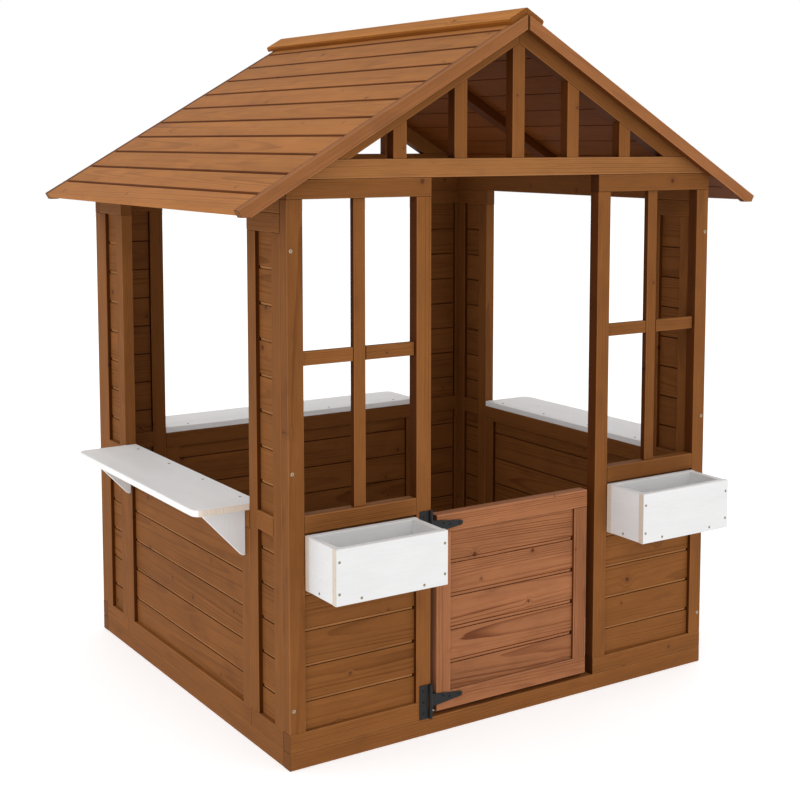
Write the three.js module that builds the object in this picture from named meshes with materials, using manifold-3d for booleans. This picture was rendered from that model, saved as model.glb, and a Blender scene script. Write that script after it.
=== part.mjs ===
// A child's timber playhouse: framed board panels on a base rail, a gabled plank roof, an open gable of
// short posts, a half door on two T-hinges, a counter shelf outside each open side and two planter boxes.
// Millimetres, +Z up. The front faces -Y and +X is to the right. The origin is on the ground, under the
// middle of the house.
import * as THREE from "three";
import { mergeVertices } from "three/addons/utils/BufferGeometryUtils.js";
import Module from "manifold-3d";

// ---------------------------------------------------------------- driving dimensions
const WALL_WIDTH = 1140;
const WALL_DEPTH = 1024;
const WALL_TOP = 1198;
const PANEL_THICK = 28;
const STILE = 37;
const RAIL = 39;
const CLEARANCE = 0.3; // between any two pieces that touch

const BASE_HEIGHT = 37;

const BOARD_THICK = 10;
const BOARD_PITCH = 74;
const FIRST_BOARD = 58; // the lowest board shows less, because its edge is behind the rail
const SHORTEST_BOARD = BOARD_PITCH / 4; // no joint comes closer than this to the top of a field
const WALL_GROOVE = { half: 4, depth: 2.5 }; // the V at each joint, on the outer face
const ROOF_GROOVE = { half: 2.2, depth: 2.6 };
const BACK_GROOVE = 1.5; // half width and depth of the V on the inner face

const FRONT_PANEL = 343;
const SILL_TOP = 524;
const SILL_BOTTOM = 488;
const WINDOW_BAR = 28.5;
const WINDOW_BAR_THICK = 14;

const SIDE_TOP = 1131; // top of the corner panels, under the header
const SIDE_CORNER = 144;
const BACK_CORNER = 172;
const MID_RAIL_BOTTOM = 473;
const MID_RAIL_TOP = 513;
const COUNTER = 504; // top of the low panels, under the shelves

const SHELF_THICK = 15;
const SHELF_OVERHANG = 124;
const SHELF_CORNER = 22;
const BRACKET_THICK = 15;
const BRACKET_REACH = 95;
const BRACKET_DROP = 100;
const BRACKET_TIP = 7;
const BRACKET_INSET = 25.5; // from the end of the shelf to the middle of the bracket

const PLANTER_WIDTH = 264;
const PLANTER_DEPTH = 124;
const PLANTER_HEIGHT = 114;
const PLANTER_TOP = 485;
const PLANTER_OFFSET = -2; // of both planters in X, from the middles of their panels
const PLANTER_WALL = 15;

const ROOF_PITCH = Math.PI / 6;
const PLANK_THICK = 12;
const PLANK_RUN = 797; // down the slope, ridge to eave
const FIRST_PLANK = 61;
const RIDGE_PLANK = 1.5 * BOARD_PITCH; // no joint comes closer than this to the ridge
const ROOF_OVERHANG = 14; // planks past the front and back walls
const BATTEN_WIDTH = 37;
const BATTEN_DEPTH = 22;
const BATTEN_RUN = 600;
const BARGE_THICK = 18;
const BARGE_FACE = 27;
const BARGE_GAP = 5; // between the two barge boards at the ridge
const BARGE_CLIP = 1128; // level of the flat cut under the lower tip
const CAP_RUN = 47;
const CAP_THICK = 13;
const CAP_LENGTH = 1103;
const CAP_OFFSET = 15; // the cap sits this far back from the middle of the ridge
const CAP_BEVEL = 3;

const GABLE_POST = 33;
const GABLE_POST_PITCH = 152;

const DOOR_LEFT = -212;
const DOOR_RIGHT = 205;
const DOOR_BOTTOM = 47;
const DOOR_TOP = 479;
const DOOR_BOARD_RECESS = 6;

const HINGE_HEIGHT = 75;
const HINGE_CENTRES = { lower: 75, upper: 456 };
const LEAF_THICK = 1.8;
const LEAF_WIDTH = 26.5;
const LEAF_RELIEF = 4.8; // the leaf stands clear of the strap's knuckle by this much from the axis
const STRAP_LENGTH = 84.5;
const STRAP_ROOT = 30;
const STRAP_TIP = 11;
const BARREL_RADIUS = 4;
const PIN_RADIUS = 1.8;
const BORE_RADIUS = 2.1;
const SCREW_HOLE = 2.2;
const LEAF_SCREW_PITCH = 25;
const LEAF_SCREW_INSET = 9;
const STRAP_SCREWS = [[34, 5], [51, 0], [76, 0]]; // along the strap from the axis, and above its middle
const HINGE_AXIS_X = -229.5;

// ---------------------------------------------------------------- worked-out sizes
const HALF_GAP = CLEARANCE / 2;
const FRONT_Y = -WALL_DEPTH / 2;
const HALF_WIDTH = WALL_WIDTH / 2;
const INNER_HALF_DEPTH = WALL_DEPTH / 2 - PANEL_THICK;
const BOARD_RECESS = (PANEL_THICK - BOARD_THICK) / 2;
const SLOPE = Math.tan(ROOF_PITCH);
const SLOPE_COS = Math.cos(ROOF_PITCH);
const SLOPE_SIN = Math.sin(ROOF_PITCH);
const RIDGE_UNDER = WALL_TOP + HALF_WIDTH * SLOPE; // the underside of the planks meets the wall's outer edge
const RIDGE_TOP = RIDGE_UNDER + PLANK_THICK / SLOPE_COS;
const CHORD_TOP = WALL_TOP + RAIL;
const RAFTER_LOW = RIDGE_UNDER - RAIL / SLOPE_COS;
const PLANK_END_Y = WALL_DEPTH / 2 + ROOF_OVERHANG;
const HINGE_AXIS_Y = FRONT_Y - CLEARANCE - BARREL_RADIUS;

// ---------------------------------------------------------------- modelling settings
const WELD = 1e-3; // vertices closer than this are one
const OVERLAP = 1; // a cutter runs past a face by this much, and joined pieces reach into each other by it
const CORNER_SEGMENTS = 6;
const ROUND_SEGMENTS = 16;

const wasm = await Module();
wasm.setup();

// ---------------------------------------------------------------- materials
const finish = (color, roughness, metalness = 0) =>
  new THREE.MeshStandardMaterial({ color, roughness, metalness });
const stainedWood = () => finish(0x91603a, 0.6);
const roofWood = () => finish(0xb07a52, 0.62);
const ridgeWood = () => finish(0xa0602c, 0.55);
const doorWood = () => finish(0xa0664c, 0.6);
const whitePaint = () => finish(0xe8e8e6, 0.5);
const blackSteel = () => finish(0x2a2e30, 0.5, 0.8);

// ---------------------------------------------------------------- small tools
const house = new THREE.Group();

function piece(parent, name, geometry, material) {
  const mesh = new THREE.Mesh(geometry, material);
  mesh.name = name;
  parent.add(mesh);
  return mesh;
}

function polygon(points) {
  return new THREE.Shape(points.map(([x, y]) => new THREE.Vector2(x, y)));
}

function rectangle(x0, x1, y0, y1) {
  return polygon([[x0, y0], [x1, y0], [x1, y1], [x0, y1]]);
}

function box(x0, x1, y0, y1, z0, z1) {
  const geometry = new THREE.BoxGeometry(x1 - x0, y1 - y0, z1 - z0);
  return geometry.translate((x0 + x1) / 2, (y0 + y1) / 2, (z0 + z1) / 2);
}

// An outline in X and Z, made solid between two values of Y.
function plateXZ(shape, y0, y1) {
  const geometry = new THREE.ExtrudeGeometry(shape, { depth: y1 - y0, bevelEnabled: false });
  return geometry.rotateX(Math.PI / 2).translate(0, y1, 0);
}

// An outline in Y and Z, made solid between two values of X.
function plateYZ(shape, x0, x1) {
  const geometry = new THREE.ExtrudeGeometry(shape, { depth: x1 - x0, bevelEnabled: false });
  const turn = new THREE.Matrix4().makeBasis(
    new THREE.Vector3(0, 1, 0),
    new THREE.Vector3(0, 0, 1),
    new THREE.Vector3(1, 0, 0),
  );
  return geometry.applyMatrix4(turn).translate(x0, 0, 0);
}

function toSolid(geometry) {
  const bare = geometry.clone();
  bare.deleteAttribute("normal");
  bare.deleteAttribute("uv");
  const merged = mergeVertices(bare, WELD);
  const vertProperties = merged.attributes.position.array;
  const triVerts = new Uint32Array(merged.index.array);
  return new wasm.Manifold(new wasm.Mesh({ numProp: 3, vertProperties, triVerts }));
}

function toGeometry(solid) {
  const mesh = solid.getMesh();
  const geometry = new THREE.BufferGeometry();
  geometry.setAttribute("position", new THREE.BufferAttribute(new Float32Array(mesh.vertProperties), 3));
  geometry.setIndex(new THREE.BufferAttribute(new Uint32Array(mesh.triVerts), 1));
  geometry.computeVertexNormals();
  return geometry;
}

const join = (first, ...others) =>
  toGeometry(others.reduce((whole, next) => whole.add(toSolid(next)), toSolid(first)));
const cut = (first, ...tools) =>
  toGeometry(tools.reduce((whole, next) => whole.subtract(toSolid(next)), toSolid(first)));

// ---------------------------------------------------------------- base rail
function makeBase() {
  const top = BASE_HEIGHT - HALF_GAP;
  const innerY = INNER_HALF_DEPTH;
  const innerX = HALF_WIDTH - PANEL_THICK;
  const sideY = innerY - CLEARANCE;
  piece(house, "base_front", box(-HALF_WIDTH, HALF_WIDTH, FRONT_Y, -innerY, 0, top), stainedWood());
  piece(house, "base_back", box(-HALF_WIDTH, HALF_WIDTH, innerY, -FRONT_Y, 0, top), stainedWood());
  piece(house, "base_left", box(-HALF_WIDTH, -innerX, -sideY, sideY, 0, top), stainedWood());
  piece(house, "base_right", box(innerX, HALF_WIDTH, -sideY, sideY, 0, top), stainedWood());
}

// ---------------------------------------------------------------- framed board panels
// A wall's own frame: seen from outside, X runs to the right, the outer face is at Y = 0 and Y runs inwards.
function wallGroup(angle, distance) {
  const group = new THREE.Group();
  group.rotation.z = angle;
  group.position.set(Math.sin(angle) * distance, -Math.cos(angle) * distance, 0);
  house.add(group);
  return group;
}

// Frame with square openings, each given as [x0, x1, z0, z1].
function frameGeometry(x0, x1, z0, z1, openings) {
  const outline = rectangle(x0 + HALF_GAP, x1 - HALF_GAP, z0 + HALF_GAP, z1 - HALF_GAP);
  outline.holes = openings.map((opening) => rectangle(...opening));
  return plateXZ(outline, 0, PANEL_THICK);
}

// Groove positions between z0 and z1 of a field of boards.
function grooveLines(z0, z1) {
  const lines = [];
  for (let z = z0 + FIRST_BOARD; z < z1 - SHORTEST_BOARD; z += BOARD_PITCH) lines.push(z);
  return lines;
}

// Horizontal boards in an opening, as one solid with a groove on both faces at each joint.
function boardGeometry(x0, x1, z0, z1, recess = BOARD_RECESS) {
  const outer = recess;
  const inner = recess + BOARD_THICK;
  const { half, depth } = WALL_GROOVE;
  const lines = grooveLines(z0, z1);
  const points = [[outer, z0 + CLEARANCE]];
  for (const z of lines) points.push([outer, z - half], [outer + depth, z], [outer, z + half]);
  points.push([outer, z1 - CLEARANCE], [inner, z1 - CLEARANCE]);
  for (const z of lines.reverse()) {
    points.push([inner, z + BACK_GROOVE], [inner - BACK_GROOVE, z], [inner, z - BACK_GROOVE]);
  }
  points.push([inner, z0 + CLEARANCE]);
  return plateYZ(polygon(points), x0 + CLEARANCE, x1 - CLEARANCE);
}

// A tall panel: two fields of boards with a rail between them.
function makeCornerPanel(wall, name, x0, x1) {
  const left = x0 + STILE;
  const right = x1 - STILE;
  const lower = [left, right, BASE_HEIGHT + RAIL, MID_RAIL_BOTTOM];
  const upper = [left, right, MID_RAIL_TOP, SIDE_TOP - RAIL];
  const frame = frameGeometry(x0, x1, BASE_HEIGHT, SIDE_TOP, [lower, upper]);
  // The boards run on through a slot in the mid rail, so the two fields are one piece.
  const link = box(
    left + CLEARANCE,
    right - CLEARANCE,
    BOARD_RECESS,
    BOARD_RECESS + BOARD_THICK,
    MID_RAIL_BOTTOM - BOARD_THICK,
    MID_RAIL_TOP + BOARD_THICK,
  );
  const slot = box(
    left,
    right,
    BOARD_RECESS - CLEARANCE,
    BOARD_RECESS + BOARD_THICK + CLEARANCE,
    MID_RAIL_BOTTOM - OVERLAP,
    MID_RAIL_TOP + OVERLAP,
  );
  piece(wall, `${name}_frame`, cut(frame, slot), stainedWood());
  piece(wall, `${name}_boards`, join(boardGeometry(...lower), link, boardGeometry(...upper)), stainedWood());
}

// A low panel under a counter shelf.
function makeLowPanel(wall, name, halfWidth) {
  const field = [STILE - halfWidth, halfWidth - STILE, BASE_HEIGHT + RAIL, COUNTER - RAIL];
  const frame = frameGeometry(-halfWidth, halfWidth, BASE_HEIGHT, COUNTER, [field]);
  piece(wall, `${name}_low_frame`, frame, stainedWood());
  piece(wall, `${name}_low_boards`, boardGeometry(...field), stainedWood());
}

// A counter shelf with round outer corners, and its two brackets.
function makeShelf(wall, name, halfWidth) {
  const end = halfWidth - CLEARANCE;
  const shape = new THREE.Shape();
  shape.moveTo(-end, PANEL_THICK);
  shape.lineTo(-end, SHELF_CORNER - SHELF_OVERHANG);
  shape.absarc(SHELF_CORNER - end, SHELF_CORNER - SHELF_OVERHANG, SHELF_CORNER, Math.PI, 1.5 * Math.PI);
  shape.lineTo(end - SHELF_CORNER, -SHELF_OVERHANG);
  shape.absarc(end - SHELF_CORNER, SHELF_CORNER - SHELF_OVERHANG, SHELF_CORNER, 1.5 * Math.PI, 2 * Math.PI);
  shape.lineTo(end, PANEL_THICK);
  const depth = SHELF_THICK - CLEARANCE;
  const options = { depth, bevelEnabled: false, curveSegments: CORNER_SEGMENTS };
  const slab = new THREE.ExtrudeGeometry(shape, options);
  piece(wall, `${name}_shelf`, slab.translate(0, 0, COUNTER + HALF_GAP), whitePaint());

  const top = COUNTER - CLEARANCE;
  const back = -CLEARANCE;
  const gusset = polygon([
    [back, top],
    [-BRACKET_REACH, top],
    [-BRACKET_REACH, top - BRACKET_TIP],
    [back - BRACKET_TIP, top - BRACKET_DROP],
    [back, top - BRACKET_DROP],
  ]);
  const middle = halfWidth - BRACKET_INSET;
  for (const [mark, x] of [["a", -middle], ["b", middle]]) {
    const geometry = plateYZ(gusset, x - BRACKET_THICK / 2, x + BRACKET_THICK / 2);
    piece(wall, `${name}_bracket_${mark}`, geometry, whitePaint());
  }
}

// ---------------------------------------------------------------- front wall
function makeFrontPanel(wall, side, x0, x1) {
  const left = x0 + STILE;
  const right = x1 - STILE;
  const boards = [left, right, BASE_HEIGHT + RAIL, SILL_BOTTOM];
  const pane = [left, right, SILL_TOP, WALL_TOP - RAIL];
  const frame = frameGeometry(x0, x1, BASE_HEIGHT, WALL_TOP, [boards, pane]);
  piece(wall, `front_${side}_frame`, frame, stainedWood());
  piece(wall, `front_${side}_boards`, boardGeometry(...boards), stainedWood());

  const middleX = (x0 + x1) / 2;
  const middleZ = (pane[2] + pane[3]) / 2;
  const half = WINDOW_BAR / 2;
  const bars = polygon([
    [middleX - half, pane[2] + CLEARANCE],
    [middleX + half, pane[2] + CLEARANCE],
    [middleX + half, middleZ - half],
    [right - CLEARANCE, middleZ - half],
    [right - CLEARANCE, middleZ + half],
    [middleX + half, middleZ + half],
    [middleX + half, pane[3] - CLEARANCE],
    [middleX - half, pane[3] - CLEARANCE],
    [middleX - half, middleZ + half],
    [left + CLEARANCE, middleZ + half],
    [left + CLEARANCE, middleZ - half],
    [middleX - half, middleZ - half],
  ]);
  const inset = (PANEL_THICK - WINDOW_BAR_THICK) / 2;
  piece(wall, `front_${side}_window_bars`, plateXZ(bars, inset, inset + WINDOW_BAR_THICK), stainedWood());
}

function makePlanter(wall, name, x) {
  const half = PLANTER_WIDTH / 2;
  const floor = PLANTER_TOP - PLANTER_HEIGHT;
  const back = -CLEARANCE;
  const outer = box(x - half, x + half, -PLANTER_DEPTH, back, floor, PLANTER_TOP);
  const inner = box(
    x - half + PLANTER_WALL,
    x + half - PLANTER_WALL,
    PLANTER_WALL - PLANTER_DEPTH,
    back - PLANTER_WALL,
    floor + PLANTER_WALL,
    PLANTER_TOP + OVERLAP,
  );
  piece(wall, name, cut(outer, inner), whitePaint());
}

function makeFrontWall() {
  const wall = wallGroup(0, WALL_DEPTH / 2);
  const inner = HALF_WIDTH - FRONT_PANEL;
  const planterX = HALF_WIDTH - FRONT_PANEL / 2;
  makeFrontPanel(wall, "left", -HALF_WIDTH, -inner);
  makeFrontPanel(wall, "right", inner, HALF_WIDTH);
  makePlanter(wall, "left_planter", PLANTER_OFFSET - planterX);
  makePlanter(wall, "right_planter", PLANTER_OFFSET + planterX);
}

// ---------------------------------------------------------------- side and back walls
// The first corner name is at the wall's own left end, the second at its right end.
function makeOpenWall(name, angle, distance, halfWidth, corner, cornerNames) {
  const wall = wallGroup(angle, distance);
  const opening = halfWidth - corner;
  makeCornerPanel(wall, `${name}_${cornerNames[0]}_corner`, -halfWidth, -opening);
  makeCornerPanel(wall, `${name}_${cornerNames[1]}_corner`, opening, halfWidth);
  makeLowPanel(wall, name, opening);
  makeShelf(wall, name, opening);
  return wall;
}

// Header over a side opening. Its top is planed to the roof's slope.
function makeSideHeader(wall, name) {
  const bottom = SIDE_TOP + HALF_GAP;
  const outerTop = WALL_TOP - CLEARANCE;
  const profile = polygon([
    [0, bottom],
    [0, outerTop],
    [PANEL_THICK, outerTop + PANEL_THICK * SLOPE],
    [PANEL_THICK, bottom],
  ]);
  const half = INNER_HALF_DEPTH - CLEARANCE;
  piece(wall, name, plateYZ(profile, -half, half), stainedWood());
}

function makeOpenWalls() {
  const quarter = Math.PI / 2;
  const sideHalf = INNER_HALF_DEPTH - HALF_GAP;
  const sideCorner = SIDE_CORNER - HALF_GAP;
  const left = makeOpenWall("left", -quarter, HALF_WIDTH, sideHalf, sideCorner, ["rear", "front"]);
  makeSideHeader(left, "left_header");
  const right = makeOpenWall("right", quarter, HALF_WIDTH, sideHalf, sideCorner, ["front", "rear"]);
  makeSideHeader(right, "right_header");
  const back = makeOpenWall("back", Math.PI, WALL_DEPTH / 2, HALF_WIDTH, BACK_CORNER, ["right", "left"]);
  const header = box(
    -HALF_WIDTH,
    HALF_WIDTH,
    0,
    PANEL_THICK,
    SIDE_TOP + HALF_GAP,
    WALL_TOP - HALF_GAP,
  );
  piece(back, "back_header", header, stainedWood());
}

// ---------------------------------------------------------------- gables
// Bottom chord, two rafters and five posts, with the spaces between them open.
function makeGable(name, y0) {
  const lowAt = (x) => RAFTER_LOW - Math.abs(x) * SLOPE;
  const base = WALL_TOP + HALF_GAP;
  const peak = RIDGE_UNDER - CLEARANCE;
  const reach = (peak - base) / SLOPE;
  const outline = polygon([[-reach, base], [reach, base], [0, peak]]);
  const posts = [0, 1, 2].map((step) => step * GABLE_POST_PITCH);
  const spaces = [];
  for (const side of [-1, 1]) {
    for (const post of posts) {
      const near = post + GABLE_POST / 2;
      const far = near + GABLE_POST_PITCH - GABLE_POST;
      const last = post === posts[posts.length - 1];
      const points = last
        ? [[near, CHORD_TOP], [(RAFTER_LOW - CHORD_TOP) / SLOPE, CHORD_TOP], [near, lowAt(near)]]
        : [[near, CHORD_TOP], [far, CHORD_TOP], [far, lowAt(far)], [near, lowAt(near)]];
      const space = polygon(points.map(([x, z]) => [side * x, z]));
      spaces.push(plateXZ(space, y0 - OVERLAP, y0 + PANEL_THICK + OVERLAP));
    }
  }
  const triangle = plateXZ(outline, y0, y0 + PANEL_THICK);
  piece(house, name, cut(triangle, ...spaces), stainedWood());
}

// ---------------------------------------------------------------- roof
// A point of one slope: run is measured down from the ridge, rise outwards from the top of the planks.
function slopePoint(side, run, rise) {
  const x = run * SLOPE_COS + rise * SLOPE_SIN;
  const z = RIDGE_TOP - run * SLOPE_SIN + rise * SLOPE_COS;
  return [side * x, z];
}

// The run at which a line with the given rise comes within x of the middle plane.
const runAt = (x, rise) => (x - rise * SLOPE_SIN) / SLOPE_COS;

function makeRoofPanel(name, side) {
  const at = (run, rise) => slopePoint(side, run, rise);
  const { half, depth } = ROOF_GROOVE;
  const under = -PLANK_THICK;
  const lines = [];
  for (let run = PLANK_RUN - FIRST_PLANK; run > RIDGE_PLANK; run -= BOARD_PITCH) lines.unshift(run);
  const points = [at(runAt(HALF_GAP, 0), 0)];
  for (const run of lines) points.push(at(run - half, 0), at(run, -depth), at(run + half, 0));
  points.push(at(PLANK_RUN, 0), at(PLANK_RUN, under));
  for (const run of lines.reverse()) {
    points.push(at(run + BACK_GROOVE, under), at(run, under + BACK_GROOVE), at(run - BACK_GROOVE, under));
  }
  points.push(at(runAt(HALF_GAP, under), under));
  const planks = plateXZ(polygon(points), HALF_GAP - PLANK_END_Y, PLANK_END_Y - HALF_GAP);

  const lap = under + OVERLAP;
  const foot = under - BATTEN_DEPTH;
  const batten = polygon([
    at(runAt(HALF_GAP, lap), lap),
    at(BATTEN_RUN, lap),
    at(BATTEN_RUN, foot),
    at(runAt(HALF_GAP, foot), foot),
  ]);
  piece(house, name, join(planks, plateXZ(batten, -BATTEN_WIDTH / 2, BATTEN_WIDTH / 2)), roofWood());
}

function makeBarge(name, side, y0) {
  const at = (run, rise) => slopePoint(side, run, rise);
  const face = -BARGE_FACE;
  const top = runAt(BARGE_GAP / 2, 0);
  const bottom = runAt(BARGE_GAP / 2, face);
  // On the end cut and on the lower edge, the points at the level of the flat cut.
  const endRise = (BARGE_CLIP - RIDGE_TOP + PLANK_RUN * SLOPE_SIN) / SLOPE_COS;
  const lowRun = (RIDGE_TOP + face * SLOPE_COS - BARGE_CLIP) / SLOPE_SIN;
  const outline = polygon([
    at(top, 0),
    at(PLANK_RUN, 0),
    at(PLANK_RUN, endRise),
    at(lowRun, face),
    at(bottom, face),
  ]);
  piece(house, name, plateXZ(outline, y0, y0 + BARGE_THICK), roofWood());
}

function makeRidgeBoard(name, side) {
  const at = (run, rise) => slopePoint(side, run, rise);
  const low = CLEARANCE;
  const high = CLEARANCE + CAP_THICK;
  const outline = polygon([
    at(runAt(HALF_GAP, low), low),
    at(CAP_RUN, low),
    at(CAP_RUN, high - CAP_BEVEL),
    at(CAP_RUN - CAP_BEVEL, high),
    at(runAt(HALF_GAP, high), high),
  ]);
  const front = CAP_OFFSET - CAP_LENGTH / 2;
  piece(house, name, plateXZ(outline, front, front + CAP_LENGTH), ridgeWood());
}

function makeRoof() {
  makeGable("front_gable", FRONT_Y);
  makeGable("back_gable", -FRONT_Y - PANEL_THICK);
  const bargeY = PLANK_END_Y + HALF_GAP;
  for (const [name, side] of [["left", -1], ["right", 1]]) {
    makeRoofPanel(`roof_${name}`, side);
    makeRidgeBoard(`ridge_board_${name}`, side);
    makeBarge(`barge_front_${name}`, side, -bargeY - BARGE_THICK);
    makeBarge(`barge_back_${name}`, side, bargeY);
  }
}

// ---------------------------------------------------------------- half door
function makeDoor() {
  const wall = wallGroup(0, WALL_DEPTH / 2);
  const field = [DOOR_LEFT + STILE, DOOR_RIGHT - STILE, DOOR_BOTTOM + RAIL, DOOR_TOP - STILE];
  const frame = frameGeometry(DOOR_LEFT, DOOR_RIGHT, DOOR_BOTTOM, DOOR_TOP, [field]);
  piece(wall, "door_frame", frame, doorWood());
  piece(wall, "door_boards", boardGeometry(...field, DOOR_BOARD_RECESS), doorWood());
}

// ---------------------------------------------------------------- T-hinges
function ring(z0, z1) {
  const shape = new THREE.Shape();
  shape.absarc(HINGE_AXIS_X, HINGE_AXIS_Y, BARREL_RADIUS, 0, 2 * Math.PI);
  const bore = new THREE.Path();
  bore.absarc(HINGE_AXIS_X, HINGE_AXIS_Y, BORE_RADIUS, 0, 2 * Math.PI);
  shape.holes.push(bore);
  const options = { depth: z1 - z0, bevelEnabled: false, curveSegments: ROUND_SEGMENTS };
  return new THREE.ExtrudeGeometry(shape, options).translate(0, 0, z0);
}

function withHoles(shape, centres) {
  for (const [x, z] of centres) {
    const hole = new THREE.Path();
    hole.absarc(x, z, SCREW_HOLE, 0, 2 * Math.PI);
    shape.holes.push(hole);
  }
  return shape;
}

// A leaf screwed to the wall, a tapering strap screwed to the door and the pin through both.
function makeHinge(name, centre) {
  const back = FRONT_Y - CLEARANCE;
  const front = back - LEAF_THICK;
  const top = centre + HINGE_HEIGHT / 2;
  const bottom = centre - HINGE_HEIGHT / 2;
  const strapHalf = STRAP_ROOT / 2;
  const knuckleTop = centre + strapHalf + CLEARANCE;
  const knuckleBottom = centre - strapHalf - CLEARANCE;

  const leafX = HINGE_AXIS_X - LEAF_WIDTH;
  const relief = HINGE_AXIS_X - LEAF_RELIEF;
  const plate = polygon([
    [leafX, bottom],
    [HINGE_AXIS_X, bottom],
    [HINGE_AXIS_X, knuckleBottom],
    [relief, knuckleBottom],
    [relief, knuckleTop],
    [HINGE_AXIS_X, knuckleTop],
    [HINGE_AXIS_X, top],
    [leafX, top],
  ]);
  const leafScrewX = leafX + LEAF_SCREW_INSET;
  const leafScrews = [-1, 0, 1].map((step) => [leafScrewX, centre + step * LEAF_SCREW_PITCH]);
  const leaf = plateXZ(withHoles(plate, leafScrews), front, back);
  const leafGeometry = join(leaf, ring(bottom, knuckleBottom), ring(knuckleTop, top));
  piece(house, `${name}_hinge_leaf`, leafGeometry, blackSteel());

  const tipX = HINGE_AXIS_X + STRAP_LENGTH;
  const tipHalf = STRAP_TIP / 2;
  const strap = new THREE.Shape();
  strap.moveTo(HINGE_AXIS_X, centre - strapHalf);
  strap.lineTo(tipX - tipHalf, centre - tipHalf);
  strap.absarc(tipX - tipHalf, centre, tipHalf, -Math.PI / 2, Math.PI / 2);
  strap.lineTo(HINGE_AXIS_X, centre + strapHalf);
  const strapScrews = STRAP_SCREWS.map(([along, up]) => [HINGE_AXIS_X + along, centre + up]);
  const arm = plateXZ(withHoles(strap, strapScrews), front, back);
  const strapGeometry = join(arm, ring(centre - strapHalf, centre + strapHalf));
  piece(house, `${name}_hinge_strap`, strapGeometry, blackSteel());

  const pin = new THREE.CylinderGeometry(PIN_RADIUS, PIN_RADIUS, HINGE_HEIGHT, ROUND_SEGMENTS);
  pin.rotateX(Math.PI / 2).translate(HINGE_AXIS_X, HINGE_AXIS_Y, centre);
  piece(house, `${name}_hinge_pin`, pin, blackSteel());
}

makeBase();
makeFrontWall();
makeOpenWalls();
makeRoof();
makeDoor();
for (const [name, centre] of Object.entries(HINGE_CENTRES)) makeHinge(name, centre);

export default house;
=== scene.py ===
"""A child's timber playhouse, dressed for a studio picture.

Every timber is its own closed shape with eased edges. It carries the coordinates of the log that it was
sawn from, so its grain, rings and knots run through it as they do in solid wood. Lengths are in metres.
"""

import math
import random
from collections import namedtuple

import bmesh
import bpy
from mathutils import Euler, Matrix, Vector


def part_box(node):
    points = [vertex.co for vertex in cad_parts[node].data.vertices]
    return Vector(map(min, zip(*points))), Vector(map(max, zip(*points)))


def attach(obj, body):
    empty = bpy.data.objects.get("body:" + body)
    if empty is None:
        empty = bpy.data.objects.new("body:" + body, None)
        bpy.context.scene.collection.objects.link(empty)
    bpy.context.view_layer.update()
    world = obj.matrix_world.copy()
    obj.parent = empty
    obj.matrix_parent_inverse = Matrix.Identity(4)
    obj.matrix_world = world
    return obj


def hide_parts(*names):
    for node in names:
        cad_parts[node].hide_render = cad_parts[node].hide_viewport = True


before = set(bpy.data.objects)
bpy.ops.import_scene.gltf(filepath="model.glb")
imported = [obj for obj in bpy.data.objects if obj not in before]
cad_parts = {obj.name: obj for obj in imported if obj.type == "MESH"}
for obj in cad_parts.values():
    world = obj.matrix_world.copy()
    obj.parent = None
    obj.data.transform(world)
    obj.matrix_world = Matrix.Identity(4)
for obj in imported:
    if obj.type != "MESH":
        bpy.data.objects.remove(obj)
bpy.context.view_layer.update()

# ------------------------------------------------------------------ sizes of the stock and the joints
STILE = 0.037
RAIL = 0.039
SILL = (0.488, 0.524)
MID_RAIL = (0.473, 0.513)
WINDOW_BAR = 0.0285
BAR_SETBACK = 0.0005  # of the cross bars, behind the face of the upright bar

BOARD_THICK = 0.010
BOARD_PITCH = 0.074
FIRST_BOARD = 0.058
INTO_FRAME = 0.005  # how far boards run into the grooves of their frame
TONGUE = 0.004
TONGUE_HALF = 0.0015
BACK_CHAMFER = 0.0015
BOARD_UNEVEN = 0.0003

# A joint between two boards, upwards: the lower board's bevelled top, the gap, and on the upper board a
# bevelled band under a narrow quirk. Each of the three has the share of the board's colour that it keeps.
Joint = namedtuple("Joint", "top gap band quirk depth top_shade band_shade quirk_shade")
QUIRK_DEPTH = 0.0011
WALL_JOINT = Joint(0.0004, 0.0007, 0.0056, 0.0010, 0.0020, 0.80, 1.48, 0.85)
DOOR_JOINT = Joint(0.0006, 0.0005, 0.0066, 0.0024, 0.0022, 0.66, 1.06, 0.44)
ROOF_JOINT = Joint(0.0042, 0.0024, 0.0048, 0.0, 0.0030, 0.36, 0.32, 1.0)

EASE = 0.0018
END_EASE = 0.0005
CROSS_BAR_GAP = 0.0012

# How much of its colour a face keeps: above 1 where the stain is thin, below 1 where it is thick, in a dark
# joint or in painted shade. CHORD_SHADE is painted light.
EDGE_LIGHT = 1.25
END_EDGE = 0.42
# painted shade: faces towards the inside of the house and of the planters are darkened
INSIDE = 0.84
# painted shade: the sides and undersides of recesses, openings and overhangs are darkened
REVEAL = 0.36
# painted shade: the undersides of the roof planks are darkened
UNDER_ROOF = 0.36
# painted shade: the battens under the roof are darkened almost to black
BATTEN_SHADE = 0.22
JOINT_DARK = 0.27
# painted shade: the ends of each board joint, in the corners beside the frame, are darkened
JOINT_END = 0.08
JOINT_END_LENGTH = 0.004
# painted light: the gable chord's top and outer faces are lightened
CHORD_SHADE = 1.35
# painted shade: the rear barges' upper faces are darkened
REAR_BARGE_EDGE = 0.45
# painted shade: the ridge cap's lower edge face is darkened
CAP_EDGE = 0.60

SHELF_CORNER = 0.022
CORNER_STEPS = 8
BRACKET_TIP = 0.007
PLANTER_WALL = 0.015
PLANTER_WEAR = 0.3  # how bare the edges of its boards are
HEAD_ROOM = 0.0006  # planter faces stay this far inside, so that screw heads can stand on them

PITCH = math.pi / 6
SLOPE = math.tan(PITCH)
PLANK_RUN = 0.797
FIRST_PLANK = 0.061
PLANK_THICK = 0.012
TOP_GAP = 0.001  # between the planks' upper ends and the ridge line
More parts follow.
